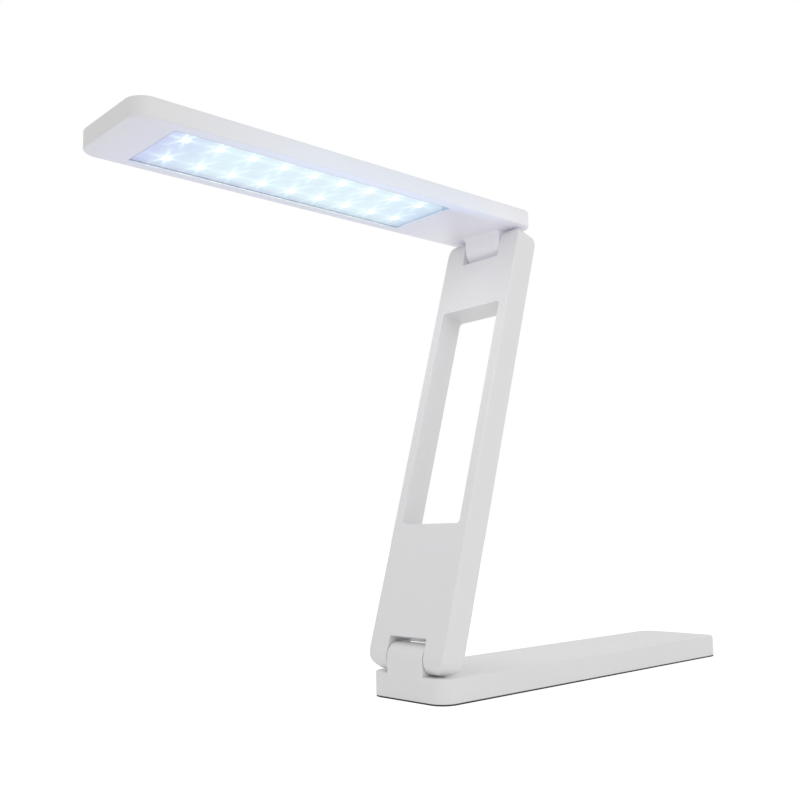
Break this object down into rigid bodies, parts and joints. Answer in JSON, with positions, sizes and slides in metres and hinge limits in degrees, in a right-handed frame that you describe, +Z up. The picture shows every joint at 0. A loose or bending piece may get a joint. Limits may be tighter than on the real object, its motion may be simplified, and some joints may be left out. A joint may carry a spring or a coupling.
{
  "type": "folding desk lamp",
  "caption": "Slim desk lamp that folds flat in a Z: a weighted base, an arm with an open window and a light head, each joined by a friction hinge, with a push switch on the head.",
  "frame": {"origin": "centre of the flat face that the lamp rests on", "axes": "+Z up; +X along the base from the hinge end to the free end; +Y across the lamp, completing the right-handed set. The head points to -X."},
  "size_m": [0.3361, 0.0454, 0.2142],
  "materials": {
    "white_shell": "glossy",
    "rubber_mat": "matt",
    "screw_steel": "satin",
    "ballast_steel": "plain",
    "cell_wrap": "satin film",
    "circuit_board": "satin",
    "port_metal": "bright",
    "lead_insulation": "soft",
    "spring_steel": "bright",
    "washer_plastic": "smooth",
    "clear_lens": "polished",
    "light_board": "glossy",
    "led_body": "glossy",
    "switch_plastic": "matt"
  },
  "bodies": {
    "base": {"base_housing": "white_shell", "base_cover": "white_shell", "base_screws": "screw_steel", "base_mat": "rubber_mat", "ballast": "ballast_steel", "battery": "cell_wrap", "charge_board": "circuit_board", "charge_port": "port_metal", "base_leads": "lead_insulation", "lower_friction_clip": "spring_steel"},
    "arm": {"arm_housing": "white_shell", "arm_cover": "white_shell", "arm_screws": "screw_steel", "arm_leads": "lead_insulation", "lower_pin": "spring_steel", "lower_sleeve": "spring_steel", "lower_washer": "washer_plastic", "lower_stop_washer": "washer_plastic", "upper_pin": "spring_steel", "upper_sleeve": "spring_steel", "upper_washer": "washer_plastic", "upper_stop_washer": "washer_plastic"},
    "head": {"head_housing": "white_shell", "head_cover": "white_shell", "lens": "clear_lens", "led_board": "light_board", "leds": "led_body", "control_board": "circuit_board", "switch_body": "switch_plastic", "head_leads": "lead_insulation", "upper_friction_clip": "spring_steel"},
    "button": {"power_button": "white_shell", "switch_plunger": "switch_plastic"}
  },
  "joints": [
    {"name": "arm_hinge", "type": "hinge", "parent": "base", "child": "arm", "pos_m": [-0.0954, 0, 0.0168], "axis": [0, 1, 0], "range_deg": [-16.8, 73.2]},
    {"name": "head_hinge", "type": "hinge", "parent": "arm", "child": "head", "pos_m": [-0.04025, 0, 0.19946], "axis": [0, -1, 0], "range_deg": [-16.8, 73.2]},
    {"name": "button_press", "type": "slide", "parent": "head", "child": "button", "axis": [0, 0, -1], "range_m": [0, 0.0005], "stiffness_N_per_m": 600}
  ]
}
